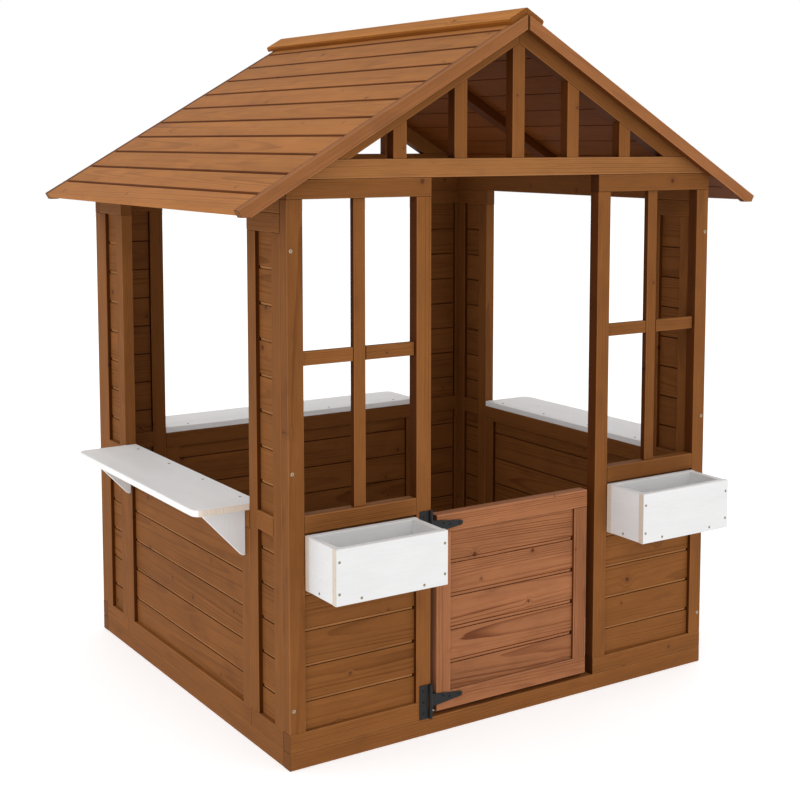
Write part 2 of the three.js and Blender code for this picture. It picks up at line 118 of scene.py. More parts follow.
# painted shade: the roof planks darken upwards, from the eave to the ridge
ROOF_PAINTED_SHADE = 0.6  # how much darker than the lowest plank the uppermost is, as a share of the spread
BATTEN = (0.037, 0.022, 0.600)  # width, depth, length
BARGE_FACE = 0.027
BARGE_GAP = 0.005
CAP_RUN = 0.047
CAP_THICK = 0.013
CAP_BEVEL = 0.003
POST = 0.033
POST_PITCH = 0.152
POST_SETBACK = 0.0015

HINGE_FACE = 0.0021  # front of the hinge plates, before the wall
HINGE_EASE = 0.0003
HINGE_EASE_ANGLE = math.radians(40)
LEAF_SCREW_INSET = 0.009
LEAF_SCREW_PITCH = 0.025
STRAP_SCREWS = ((0.034, 0.005), (0.051, 0.0), (0.076, 0.0))  # from the pin, along the strap and up

# Screw heads: radius and height above the wood.
PLANTER_SCREW = (0.0028, 0.00042)
SHELF_SCREW = (0.0032, 0.0005)
STILE_SCREW = (0.0040, 0.0006)
HINGE_SCREW = (0.0030, 0.0007)
SCREW_SIDES = 24
RECESS_WAIST = 0.34  # of the cross recess between its arms, as a share of their reach
PLANTER_END_SCREWS = (0.024, 0.026)  # above the planter's bottom and below its top
PLANTER_FLOOR_SCREW_UP = 0.009
PLANTER_FLOOR_SCREW_INSET = 0.058
PLANTER_SIDE_SCREW_BACK = 0.068
SHELF_SCREW_STEPS = (-1.5, -0.5, 0.5, 1.5)
SHELF_SCREW_PITCH = 0.274  # as a share of the shelf's length
SHELF_SCREW_BACK = 0.009  # behind the outer face of the wall
STILE_SCREW_INSET = 0.0095
STILE_SCREW_HEIGHTS = (0.125, 0.613, 1.058)

# A face looks in a direction when at least this much of its unit normal points there.
FACING = 0.7
END_FACING = 0.8
BACK_FACING = 0.5
ASLANT = 0.3  # a face leans towards a direction from here on
PARALLEL = 0.99  # an edge follows the grain from here on
SHARP = 0.5  # least angle in radians between the faces at an edge that is eased
SQUARE_EDGE = 1.0  # the same for the edges round an end
SMOOTH_ANGLE = math.radians(50)

AXES = (Vector((1, 0, 0)), Vector((0, 1, 0)), Vector((0, 0, 1)))
ALONG_X, ALONG_Y, ALONG_Z = AXES

# Figure. The heart of the log lies this far from the middle of a timber: behind an arched face, and beside
# a straight one. The other distance is small. The timber leans off the heart by so much in a metre.
LOG_LENGTH = 30
ARCHED_HEART = (0.03, 0.075)
ARCHED_ASIDE = 0.4  # as a share of the timber's width
ARCHED_LEAN = 0.022
STRAIGHT_HEART = (0.06, 0.10)
STRAIGHT_ASIDE = 0.02
STRAIGHT_LEAN = 0.006

draw = random.Random(20)


# ------------------------------------------------------------------ places
def wall_place(angle, distance):
    """Seen from outside: X to the right, Y inwards from the outer face, Z up."""
    offset = Matrix.Translation((math.sin(angle) * distance, -math.cos(angle) * distance, 0))
    return offset @ Matrix.Rotation(angle, 4, "Z")


def roof_place(side):
    """The same on a slope: Z runs up it from the eave, and Y = 0 is the top of the planks."""
    low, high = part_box("roof_left")
    eave_x = -low.x
    ridge = high.z
    up = Vector((-side * math.cos(PITCH), 0, math.sin(PITCH)))
    right = Vector((0, side, 0))
    inward = up.cross(right)
    place = Matrix((right, inward, up)).transposed().to_4x4()
    place.translation = (side * eave_x, 0, ridge - eave_x * SLOPE)
    return place


half_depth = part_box("base_back")[1].y
half_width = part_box("base_right")[1].x
PLACES = {
    "front": wall_place(0, half_depth),
    "back": wall_place(math.pi, half_depth),
    "left": wall_place(-math.pi / 2, half_width),
    "right": wall_place(math.pi / 2, half_width),
    "roof_left": roof_place(-1),
    "roof_right": roof_place(1),
    "house": Matrix.Identity(4),
}


def local_box(node, place):
    """Lowest and highest corner of a node in a place's own coordinates."""
    inverse = place.inverted()
    points = [inverse @ vertex.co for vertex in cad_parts[node].data.vertices]
    low = Vector([min(point[axis] for point in points) for axis in range(3)])
    high = Vector([max(point[axis] for point in points) for axis in range(3)])
    return low, high


# ------------------------------------------------------------------ timbers
def prism(outline, axis, *levels):
    """A closed solid: its outline lies in the two other axes, with a ring of corners at each level."""
    solid = bmesh.new()
    rings = []
    for level in levels:
        ring = []
        for first, second in outline:
            point = [first, second]
            point.insert(axis, level)
            ring.append(solid.verts.new(point))
        rings.append(ring)
    solid.faces.new(rings[0][::-1])
    solid.faces.new(rings[-1])
    for bottom, top in zip(rings, rings[1:]):
        for index, vertex in enumerate(bottom):
            nxt = (index + 1) % len(bottom)
            solid.faces.new((vertex, bottom[nxt], top[nxt], top[index]))
    bmesh.ops.recalc_face_normals(solid, faces=solid.faces)
    return solid


def round_edges(solid, edges, offset, segments):
    return bmesh.ops.bevel(
        solid, geom=edges, offset=offset, segments=segments, profile=0.5, affect="EDGES", clamp_overlap=True
    )


def ease_edges(solid, grain, ease):
    """Rounds the long edges by ease and the end edges by a little, and notes how light those faces are."""
    edge_light = solid.faces.layers.float.new("edge_light")

    def bevel(edges, offset, segments, light):
        made = round_edges(solid, edges, offset, segments)
        for face in made["faces"]:
            face[edge_light] = light

    long_edges = []
    for edge in solid.edges:
        direction = (edge.verts[1].co - edge.verts[0].co).normalized()
        if abs(direction.dot(grain)) > PARALLEL and edge.calc_face_angle(0) > SHARP:
            long_edges.append(edge)
    bevel(long_edges, ease, 2, EDGE_LIGHT)
    ends = [edge for edge in solid.edges if edge.calc_face_angle(0) > SQUARE_EDGE]
    bevel(ends, min(ease, END_EASE), 1, END_EDGE)


def plain_shade(normal, centre):
    return 1.0


def wall_shade(normal, centre):
    """Outside faces of a wall keep their colour. The inside is darker: painted shade."""
    return INSIDE if normal.y > FACING else 1.0


def reveal_shade(*directions):
    """As wall_shade, with faces that look in the given directions darkened by painted shade, as the sides of
    a recess.
    """
    def shade(normal, centre):
        if any(normal.dot(direction) > FACING for direction in directions):
            return REVEAL
        return wall_shade(normal, centre)
    return shade


class Joinery:
    """One shown piece: a mesh of closed timbers in a place's own coordinates."""

    def __init__(self, place, wear=0.0):
        self.place = place
        self.wear = wear
        self.points = []
        self.faces = []
        self.log = []
        self.tone = []
        self.end = []
        self.shade = []

    def timber(self, solid, grain, ease=EASE, tone=None, shade=wall_shade, flat_sawn=0.2):
        """Adds one timber. Its log coordinates are: along the grain, then across it from the log's heart.
        flat_sawn is the chance of arched figure on its wide faces. Otherwise the figure is straight."""
        if ease:
            ease_edges(solid, grain, ease)
        edge_light = solid.faces.layers.float.get("edge_light")
        coordinates = [vertex.co.copy() for vertex in solid.verts]
        across = ALONG_Y.cross(grain).normalized() if abs(grain.y) < 0.9 else ALONG_X
        through = grain.cross(across)

        def extent(direction):
            reach = [point.dot(direction) for point in coordinates]
            return max(reach) - min(reach)

        if extent(across) < extent(through):
            across, through = through, across
        middle = sum(coordinates, Vector()) / len(coordinates)
        start = draw.uniform(0, LOG_LENGTH)
        arched = draw.random() < flat_sawn
        if arched:
            aside = draw.uniform(-ARCHED_ASIDE, ARCHED_ASIDE) * extent(across)
            heart = (aside, draw.choice((-1, 1)) * draw.uniform(*ARCHED_HEART))
        else:
            beside = draw.choice((-1, 1)) * draw.uniform(*STRAIGHT_HEART)
            heart = (beside, draw.uniform(-STRAIGHT_ASIDE, STRAIGHT_ASIDE))
        most = ARCHED_LEAN if arched else STRAIGHT_LEAN
        lean = (draw.uniform(-STRAIGHT_LEAN, STRAIGHT_LEAN), draw.uniform(-most, most))
        board_tone = draw.random() if tone is None else tone

        offset = len(self.points)
        for point in coordinates:
            away = point - middle
            along = away.dot(grain)
            self.points.append(self.place @ point)
            self.log.append(
                (
                    start + along,
                    away.dot(across) + heart[0] + lean[0] * along,
                    away.dot(through) + heart[1] + lean[1] * along,
                )
            )
            self.tone.append(board_tone)
        solid.verts.index_update()
        for face in solid.faces:
            self.faces.append([offset + vertex.index for vertex in face.verts])
            light = face[edge_light] if edge_light else 0.0
            bare = 1.0 if abs(face.normal.dot(grain)) > END_FACING else 0.0
            self.end.append(max(bare, self.wear) if light else bare)
            self.shade.append(shade(face.normal, face.calc_center_median()) * (light or 1.0))
        solid.free()

    def block(self, low, high, grain, ease=EASE, tone=None, shade=wall_shade):
        outline = [(low[0], low[1]), (high[0], low[1]), (high[0], high[1]), (low[0], high[1])]
        self.timber(prism(outline, 2, low[2], high[2]), grain, ease, tone, shade)

    def make(self, name, material):
        mesh = bpy.data.meshes.new(name)
        mesh.from_pydata(self.points, [], self.faces)
        log = mesh.attributes.new("log", "FLOAT_VECTOR", "POINT")
        log.data.foreach_set("vector", [value for point in self.log for value in point])
        tone = mesh.attributes.new("tone", "FLOAT", "POINT")
        tone.data.foreach_set("value", self.tone)
        for name_of, values in (("end", self.end), ("shade", self.shade)):
            attribute = mesh.attributes.new(name_of, "FLOAT", "FACE")
            attribute.data.foreach_set("value", values)
        mesh.shade_smooth()
        mesh.set_sharp_from_angle(angle=SMOOTH_ANGLE)
        mesh.materials.append(material)
        shown = bpy.data.objects.new(name, mesh)
        bpy.context.scene.collection.objects.link(shown)
        normals = shown.modifiers.new("normals", "WEIGHTED_NORMAL")
        normals.keep_sharp = True
        return shown


def show(joinery, node, material, body="house"):
    """Stands a finished piece in the place of its CAD node."""
    shown = joinery.make(f"{node}_timber", material)
    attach(shown, body)
    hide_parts(node)
    return shown


# ------------------------------------------------------------------ materials
class Graph:
    """Short calls for building one material's nodes."""

    def __init__(self, name):
        self.material = bpy.data.materials.new(name)
        self.material.use_nodes = True
        self.tree = self.material.node_tree
        self.shader = self.tree.nodes["Principled BSDF"]

    def put(self, socket, value):
        if isinstance(value, bpy.types.NodeSocket):
            self.tree.links.new(value, socket)
        elif socket.type == "VECTOR":
            socket.default_value = value[:3]
        else:
            socket.default_value = value

    def node(self, kind, **settings):
        made = self.tree.nodes.new(f"ShaderNode{kind}")
        for key, value in settings.items():
            setattr(made, key, value)
        return made

    def math(self, operation, *values):
        made = self.node("Math", operation=operation)
        for socket, value in zip(made.inputs, values):
            self.put(socket, value)
        return made.outputs[0]

    def vector(self, operation, *values):
        made = self.node("VectorMath", operation=operation)
        for socket, value in zip(made.inputs, values):
            self.put(socket, value)
        return made.outputs["Value" if operation == "LENGTH" else "Vector"]

    def combine(self, *values):
        made = self.node("CombineXYZ")
        for socket, value in zip(made.inputs, values):
            self.put(socket, value)
        return made.outputs[0]

    def noise(self, coordinates, stretch, detail=2.0):
        """Noise from 0 to 1 whose features are about 1 / stretch long on each axis."""
        made = self.node("TexNoise")
        self.put(made.inputs["Vector"], self.vector("MULTIPLY", coordinates, stretch))
        self.put(made.inputs["Scale"], 1.0)
        self.put(made.inputs["Detail"], detail)
        return made.outputs["Fac"]

    def swing(self, coordinates, stretch, detail=2.0):
        """The same noise, from -0.5 to 0.5."""
        return self.math("SUBTRACT", self.noise(coordinates, stretch, detail), 0.5)

    def rise(self, value, low, high, start=0.0, finish=1.0):
        """A smooth step from start to finish while the value goes from low to high."""
        made = self.node("MapRange", interpolation_type="SMOOTHSTEP")
        names = ("Value", "From Min", "From Max", "To Min", "To Max")
        for name, setting in zip(names, (value, low, high, start, finish)):
            self.put(made.inputs[name], setting)
        return made.outputs["Result"]

    def blend(self, factor, first, second, kind="MIX"):
        made = self.node("Mix", data_type="RGBA", blend_type=kind, clamp_factor=True)
        sockets = {socket.identifier: socket for socket in made.inputs}
        self.put(sockets["Factor_Float"], factor)
        self.put(sockets["A_Color"], first)
        self.put(sockets["B_Color"], second)
        return next(socket for socket in made.outputs if socket.identifier == "Result_Color")

    def scale(self, colour, factor):
        """A colour times a number."""
        made = self.node("VectorMath", operation="SCALE")
        self.put(made.inputs[0], colour)
        self.put(made.inputs["Scale"], factor)
        return made.outputs[0]

    def attribute(self, name, output):
        return self.node("Attribute", attribute_type="GEOMETRY", attribute_name=name).outputs[output]

    def bump(self, height, distance, strength=1.0):
        made = self.node("Bump")
        self.put(made.inputs["Height"], height)
        self.put(made.inputs["Distance"], distance)
        self.put(made.inputs["Strength"], strength)
        self.put(self.shader.inputs["Normal"], made.outputs[0])


RING = 0.0044  # width of one year's growth
KNOT_CELL = (0.17, 0.085, 1.0)  # one place for a knot, along and across
KNOT_SHARE = 0.42  # share of those places that have one
KNOT_SCATTER = 0.85
LEAST_KNOT = 0.0018
KNOT_SPREAD = 0.0042
KNOT_RAGGED = 0.004
KNOT_EDGE = (1.15, 0.75)  # its colour starts and is full at these shares of its radius
KNOT_COLOUR = 0.82
HALO_FALL = -0.16
HALO_COLOUR = 0.45
KNOT_SWEEP = 1.5  # how far a knot pushes the rings aside, as a share of its radius
SWAY = 0.013  # how far the rings wander, slowly and quickly
RIPPLE = 0.0016

# Late wood, as shares of a year's growth, then how much of it every year has and how much varies.
LATE_START = (0.42, 0.92)
LATE_FINISH = (1.0, 0.94)
LEAST_YEAR = 0.2
YEAR_SPREAD = 0.8
CALM = (0.3, 0.7, 0.25, 1.0)  # the rings fade to a quarter where the calm noise is low
SMUDGE = (0.60, 0.78)  # where the smudge noise is this high
SMUDGE_COLOUR = 0.30

# Features in a metre, along the grain and across it twice.
KNOT_EDGE_GRAIN = (260, 260, 260)
SWAY_GRAIN = (1.3, 16, 16)
RIPPLE_GRAIN = (9, 70, 70)
CALM_GRAIN = (2.2, 26, 26)
FIBRE_GRAIN = (18, 430, 430)
BROAD_GRAIN = (2.0, 20, 20)
BLOTCH_GRAIN = (11, 24, 24)
SMUDGE_GRAIN = (7, 16, 16)
FIBRE_SHARE = 0.42
BROAD_SHARE = 0.5
BLOTCH_SHARE = 0.34

STAIN_AND_SHADE_GREEN = 1.35  # how much faster than red the green and blue go as the stain gets thicker, and as painted shade deepens
STAIN_AND_SHADE_BLUE = 1.9


def wood(
    name, early, late, knot_colour, end_colour, contrast, roughness, relief,
    spread=0.16, knots=KNOT_SHARE, shading=1.0, gloss=0.04,
):
    """Softwood in log coordinates: yearly rings about the heart, knots, fibres and uneven finish."""
    g = Graph(name)
    log = g.attribute("log", "Vector")
    tone = g.attribute("tone", "Fac")
    end = g.attribute("end", "Fac")
    # shade: real stain, wear and dark joints, together with painted shade and painted light
    shade = g.math("MULTIPLY_ADD", g.attribute("shade", "Fac"), shading, 1.0 - shading)
    split = g.node("SeparateXYZ")
    g.put(split.inputs[0], log)
    along, across, through = split.outputs

    # Knots are branches that run through the timber, so they are looked for along and across it.
    cell = g.vector("DIVIDE", g.combine(along, across, 0.0), KNOT_CELL)
    voronoi = g.node("TexVoronoi", voronoi_dimensions="2D", feature="F1")
    g.put(voronoi.inputs["Vector"], cell)
    g.put(voronoi.inputs["Scale"], 1.0)
    g.put(voronoi.inputs["Randomness"], KNOT_SCATTER)
    chance = g.node("SeparateColor")
    g.put(chance.inputs[0], voronoi.outputs["Color"])
    present = g.math("LESS_THAN", chance.outputs[0], knots)
    radius = g.math("MULTIPLY_ADD", chance.outputs[1], KNOT_SPREAD, LEAST_KNOT)
    aside = g.vector("MULTIPLY", g.vector("SUBTRACT", cell, voronoi.outputs["Position"]), KNOT_CELL)
    away = g.vector("LENGTH", aside)
    ragged = g.math("MULTIPLY_ADD", g.swing(log, KNOT_EDGE_GRAIN), KNOT_RAGGED, away)
    inside = g.math("MULTIPLY", present, g.rise(g.math("DIVIDE", ragged, radius), *KNOT_EDGE))
    outwards = g.math("POWER", g.math("DIVIDE", away, radius), 2.0)
    halo = g.math("EXPONENT", g.math("MULTIPLY", outwards, HALO_FALL))
    halo = g.math("MULTIPLY", present, halo)

    # Rings: distance from the heart, wandering slowly along the log and swept round each knot.
    sway = g.math("MULTIPLY", g.swing(log, SWAY_GRAIN, 1.0), SWAY)
    ripple = g.math("MULTIPLY", g.swing(log, RIPPLE_GRAIN, 1.0), RIPPLE)
    distance = g.vector("LENGTH", g.combine(0.0, across, through))
    distance = g.math("ADD", g.math("ADD", distance, sway), ripple)
    distance = g.math("MULTIPLY_ADD", g.math("MULTIPLY", halo, radius), KNOT_SWEEP, distance)
    rings = g.math("DIVIDE", distance, RING)
    phase = g.math("FRACT", rings)
    year = g.node("TexWhiteNoise", noise_dimensions="1D")
    g.put(year.inputs["W"], g.math("FLOOR", rings))
    band = g.math("MULTIPLY", g.rise(phase, *LATE_START), g.rise(phase, *LATE_FINISH))
    band = g.math("MULTIPLY", band, g.math("MULTIPLY_ADD", year.outputs["Value"], YEAR_SPREAD, LEAST_YEAR))
    calm = g.rise(g.noise(log, CALM_GRAIN, 1.0), *CALM)
    band = g.math("MULTIPLY", band, calm)

    fibre = g.swing(log, FIBRE_GRAIN, 3.0)
    broad = g.swing(log, BROAD_GRAIN, 2.0)
    blotch = g.swing(log, BLOTCH_GRAIN, 3.0)

    colour = g.blend(g.math("MULTIPLY", band, contrast), early, late)
    bright = g.math("MULTIPLY_ADD", tone, spread, 1.0 - spread / 2)
    for grain, share in ((fibre, FIBRE_SHARE), (broad, BROAD_SHARE), (blotch, BLOTCH_SHARE)):
        bright = g.math("MULTIPLY_ADD", g.math("MULTIPLY", grain, contrast), share, bright)
    colour = g.scale(colour, bright)
    smudge = g.math("MULTIPLY", g.rise(g.noise(log, SMUDGE_GRAIN, 2.0), *SMUDGE), SMUDGE_COLOUR * contrast)
    colour = g.blend(smudge, colour, knot_colour)
    rim = g.math("MULTIPLY", halo, g.math("MULTIPLY", g.rise(fibre, -0.2, 0.2), HALO_COLOUR))
    colour = g.blend(rim, colour, knot_colour)
    colour = g.blend(g.math("MULTIPLY", inside, KNOT_COLOUR), colour, knot_colour)
    colour = g.blend(end, colour, g.scale(end_colour, g.math("MULTIPLY_ADD", band, -0.25, 1.0)))

    # Shade below 1 darkens and reddens the colour as thick stain does, and above 1 lightens and pales it as
    # thin or worn stain does. It holds real stain, wear and dark joints, and also painted shade and painted
    # light.
    depth = g.combine(shade, g.math("POWER", shade, STAIN_AND_SHADE_GREEN), g.math("POWER", shade, STAIN_AND_SHADE_BLUE))
    g.put(g.shader.inputs["Base Color"], g.vector("MULTIPLY", colour, depth))
    g.put(g.shader.inputs["Specular IOR Level"], gloss)
    ring_roughness = g.math("MULTIPLY_ADD", band, -0.08, roughness)
    g.put(g.shader.inputs["Roughness"], g.math("MULTIPLY_ADD", fibre, 0.25, ring_roughness))
    height = g.math("MULTIPLY_ADD", fibre, 0.8, band)
    g.bump(g.math("MULTIPLY_ADD", inside, 0.8, height), relief)
    return g.material


STAIN_FINISH = {"contrast": 0.85, "roughness": 0.60, "relief": 0.0004}
PEBBLE_GRAIN = (620, 620, 620)
PEBBLE = 0.0004
COAT_CLOUD_GRAIN = (70, 70, 70)
PLATE_CLOUD_GRAIN = (400, 400, 400)


def stain(name, early, late, knot_colour, end_colour, **choices):
    return wood(name, early, late, knot_colour, end_colour, **{**STAIN_FINISH, **choices})


def powder_coat(name, colour, roughness):
    """Black paint with the fine pebbled skin of a powder coat."""
    g = Graph(name)
    place = g.node("TexCoord").outputs["Object"]
    pebble = g.noise(place, PEBBLE_GRAIN, 2.0)
    cloud = g.noise(place, COAT_CLOUD_GRAIN, 3.0)
    g.put(g.shader.inputs["Base Color"], g.scale(colour, g.math("MULTIPLY_ADD", cloud, 0.9, 0.6)))
    g.put(g.shader.inputs["Roughness"], g.math("MULTIPLY_ADD", cloud, 0.25, roughness))
    g.put(g.shader.inputs["Specular IOR Level"], 0.3)
    g.bump(pebble, PEBBLE, 0.8)
    return g.material


def plated(name, colour, roughness):
    """Plated steel with a slightly cloudy shine."""
    g = Graph(name)
    cloud = g.noise(g.node("TexCoord").outputs["Object"], PLATE_CLOUD_GRAIN, 3.0)
    g.put(g.shader.inputs["Base Color"], g.scale(colour, g.math("MULTIPLY_ADD", cloud, 0.8, 0.6)))
    g.put(g.shader.inputs["Metallic"], 1.0)
    g.put(g.shader.inputs["Roughness"], g.math("MULTIPLY_ADD", cloud, 0.3, roughness))
    return g.material


def rgba(*colour):
    return (*colour, 1.0)


STAINED = stain(
    "stained_wood", rgba(0.222, 0.083, 0.0225), rgba(0.120, 0.039, 0.009), rgba(0.080, 0.027, 0.014),
    rgba(0.170, 0.062, 0.018),
)
ROOFING = stain(
    "roof_wood", rgba(0.365, 0.142, 0.038), rgba(0.205, 0.072, 0.017), rgba(0.130, 0.052, 0.026),
    rgba(0.200, 0.082, 0.028), spread=0.24,
)
BARGE = stain(
    "barge_wood", rgba(0.285, 0.112, 0.040), rgba(0.165, 0.060, 0.018), rgba(0.110, 0.042, 0.020),
    rgba(0.190, 0.076, 0.026),
)
RIDGE = stain(
    "ridge_wood", rgba(0.420, 0.160, 0.030), rgba(0.210, 0.066, 0.011), rgba(0.120, 0.042, 0.012),
    rgba(0.230, 0.080, 0.018),
)
DOOR = stain(
    "door_wood", rgba(0.325, 0.128, 0.055), rgba(0.150, 0.046, 0.018), rgba(0.090, 0.022, 0.009),
    rgba(0.160, 0.056, 0.026), knots=0.6, contrast=1.15, spread=0.22,
)
PAINT_FINISH = {
    "contrast": 0.20,
    "roughness": 0.55,
    "relief": 0.0002,
    "spread": 0.04,
    "knots": 0.10,
    "shading": 0.2,
    "gloss": 0.3,
}
PAINT = wood(
    "white_paint", rgba(0.755, 0.755, 0.755), rgba(0.730, 0.722, 0.710), rgba(0.69, 0.65, 0.60),
    rgba(0.68, 0.58, 0.48), **PAINT_FINISH,
)
# painted light: the shelves get a lighter copy of the white paint, which lifts them out of the shade under
# the eaves
SHELF_PAINTED_LIGHT_WHITE = wood(
    "white_paint_with_painted_light", rgba(0.880, 0.875, 0.870), rgba(0.850, 0.842, 0.830), rgba(0.78, 0.74, 0.69),
    rgba(0.76, 0.66, 0.56), **PAINT_FINISH,
)
STEEL = powder_coat("black_steel", rgba(0.008, 0.009, 0.010), 0.42)
BLACK_SCREW = powder_coat("black_screw", rgba(0.003, 0.003, 0.003), 0.3)
BRASS = plated("yellow_zinc", rgba(0.25, 0.18, 0.07), 0.3)
ZINC = plated("zinc", rgba(0.42, 0.35, 0.25), 0.3)


# ------------------------------------------------------------------ board profiles
def board_profile(low, high, face, thick, joint, joint_below, joint_above):
    """Tongue-and-groove section in Y and Z: a groove below and a tongue above, where there is a joint."""
    back = face + thick
    middle = (face + joint.depth + back - BACK_CHAMFER) / 2
    points = []
    if joint_below:
        seat = low + joint.gap / 2
        slot = TONGUE_HALF + joint.gap / 4
        band_top = low + joint.band
        points += [(back, low + BACK_CHAMFER), (back - BACK_CHAMFER, seat), (middle + slot, seat)]
        points += [(middle + slot, seat + TONGUE), (middle - slot, seat + TONGUE), (middle - slot, seat)]
        points += [(face + joint.depth, seat)]
        if joint.quirk:
            points += [(face + joint.depth / 5, band_top), (face + QUIRK_DEPTH, band_top + joint.quirk / 2)]
        points += [(face, band_top + joint.quirk)]
    else:
        points += [(back, low), (face, low)]
    if joint_above:
        seat = high - joint.gap / 2
        points += [(face, high - joint.top), (face + joint.depth, seat), (middle - TONGUE_HALF, seat)]
        points += [(middle - TONGUE_HALF, seat + TONGUE), (middle + TONGUE_HALF, seat + TONGUE)]
        points += [(middle + TONGUE_HALF, seat), (back - BACK_CHAMFER, seat), (back, high - BACK_CHAMFER)]
    else:
        points += [(face, high), (back, high)]
    return points


def board_shade(low, high, joint, joint_below, joint_above, open_from, open_to, inside):
    """Shades of one board's faces: the joints are dark, and painted shade makes them darkest in the corners
    beside the frame.
    """
    def shade(normal, centre):
        if normal.y > BACK_FACING:
            return JOINT_DARK if abs(normal.z) > ASLANT else inside
        between = abs(normal.y) < ASLANT
        if joint_below and centre.z < low + joint.band + joint.quirk:
            outer = joint.quirk_shade if centre.z > low + joint.band else joint.band_shade
        elif joint_above and centre.z > high - joint.top:
            outer = joint.top_shade
        else:
            return 1.0
        if not open_from < centre.x < open_to:
            return JOINT_END
        return JOINT_DARK if between else outer
    return shade


def lay_boards(
    joinery, x0, x1, z0, z1, face,
    first=FIRST_BOARD, thick=BOARD_THICK, joint=WALL_JOINT, spare=BOARD_PITCH / 4, inside=INSIDE, framed=True,
    fade=0.0,
):
    """A field of boards from z0 to z1. The last board takes what is left. Upper boards are darker by fade, a
    painted shade.
    """
    open_from = x0 + INTO_FRAME + JOINT_END_LENGTH
    open_to = x1 - INTO_FRAME - JOINT_END_LENGTH
    if not framed:
        open_from, open_to = x0, x1
    stops = sorted({x0, open_from, open_to, x1})
    levels = [z0]
    level = z0 + first
    while level < z1 - spare:
        levels.append(level)
        level += BOARD_PITCH
    levels.append(z1)
    for index, (low, high) in enumerate(zip(levels, levels[1:])):
        uneven = draw.uniform(0, BOARD_UNEVEN)
        below = index > 0
        above = index < len(levels) - 2
        outline = board_profile(low, high, face + uneven, thick - uneven, joint, below, above)
        shade = board_shade(low, high, joint, below, above, open_from, open_to, inside)
        # tone varies at random, and falls upwards by fade, which is painted shade
        tone = draw.uniform(fade / 2, 1 - fade / 2) + fade * (0.5 - index / (len(levels) - 2))
        joinery.timber(prism(outline, 0, *stops), ALONG_X, ease=0, tone=tone, shade=shade, flat_sawn=1.0)


# ------------------------------------------------------------------ walls
def make_base():
    for wall in ("front", "back", "left", "right"):
        node = f"base_{wall}"
        joinery = Joinery(PLACES[wall])
        low, high = local_box(node, PLACES[wall])
        joinery.block(low, high, ALONG_X)
        show(joinery, node, STAINED)


def make_frame(node, wall, rails=(), shaded_ends=(), material=STAINED, body="house"):
    """Two stiles between full-width rails, and further rails between the stiles."""
    joinery = Joinery(PLACES[wall])
    low, high = local_box(node, PLACES[wall])
    left, right = low.x + STILE, high.x - STILE
    bottom, top = low.z + RAIL, high.z - RAIL
    left_shade = reveal_shade(ALONG_X, *shaded_ends)
    right_shade = reveal_shade(-ALONG_X, *shaded_ends)
    rail_shade = reveal_shade(-ALONG_Z, *shaded_ends)
    joinery.block((low.x, low.y, bottom), (left, high.y, top), ALONG_Z, shade=left_shade)
    joinery.block((right, low.y, bottom), (high.x, high.y, top), ALONG_Z, shade=right_shade)
    joinery.block(low, (high.x, high.y, bottom), ALONG_X, shade=reveal_shade(*shaded_ends))
    joinery.block((low.x, low.y, top), high, ALONG_X, shade=rail_shade)
    for lower, upper in rails:
        joinery.block((left, low.y, lower), (right, high.y, upper), ALONG_X, shade=rail_shade)
    show(joinery, node, material, body)


def make_boards(node, wall, gap=None, joint=WALL_JOINT, material=STAINED, body="house"):
    """The boards of one frame, in one field, or in two with a rail in the gap between them."""
    joinery = Joinery(PLACES[wall])
    low, high = local_box(node, PLACES[wall])
    fields = [(low.z, high.z)] if gap is None else [(low.z, gap[0]), (gap[1], high.z)]
    for z0, z1 in fields:
        lay_boards(joinery, low.x - INTO_FRAME, high.x + INTO_FRAME, z0, z1, low.y, joint=joint)
    show(joinery, node, material, body)


def make_window_bars(side):
    node = f"front_{side}_window_bars"
    joinery = Joinery(PLACES["front"])
    low, high = local_box(node, PLACES["front"])
    middle = (low + high) / 2
    half = WINDOW_BAR / 2
    # painted shade: the sides of the bars and the cross bars' undersides are darkened
    upright_shade = reveal_shade(ALONG_X, -ALONG_X)
    foot = (middle.x - half, low.y, low.z)
    joinery.block(foot, (middle.x + half, high.y, high.z), ALONG_Z, shade=upright_shade)
    cross_shade = reveal_shade(ALONG_X, -ALONG_X, -ALONG_Z)
    for x0, x1 in ((low.x, middle.x - half), (middle.x + half, high.x)):
        near = (x0 + CROSS_BAR_GAP, low.y + BAR_SETBACK, middle.z - half)
        far = (x1 - CROSS_BAR_GAP, high.y - BAR_SETBACK, middle.z + half)
        joinery.block(near, far, ALONG_X, shade=cross_shade)
    show(joinery, node, STAINED)


def make_planter(side):
    node = f"{side}_planter"
    joinery = Joinery(PLACES["front"], wear=PLANTER_WEAR)
    low, high = local_box(node, PLACES["front"])
    wall = PLANTER_WALL
    front = low.y + HEAD_ROOM
    inner_front = front + wall
    inner_back = high.y - wall
    joinery.block((low.x, front, low.z), (high.x, inner_front, high.z), ALONG_X)
    joinery.block((low.x, inner_back, low.z), high, ALONG_X)
    for x0, x1 in ((low.x + HEAD_ROOM, low.x + wall), (high.x - wall, high.x - HEAD_ROOM)):
        joinery.block((x0, inner_front, low.z), (x1, inner_back, high.z - HEAD_ROOM), ALONG_Y)
    floor_low = (low.x + wall, inner_front, low.z + HEAD_ROOM)
    joinery.block(floor_low, (high.x - wall, inner_back, low.z + wall), ALONG_X)
    show(joinery, node, PAINT)


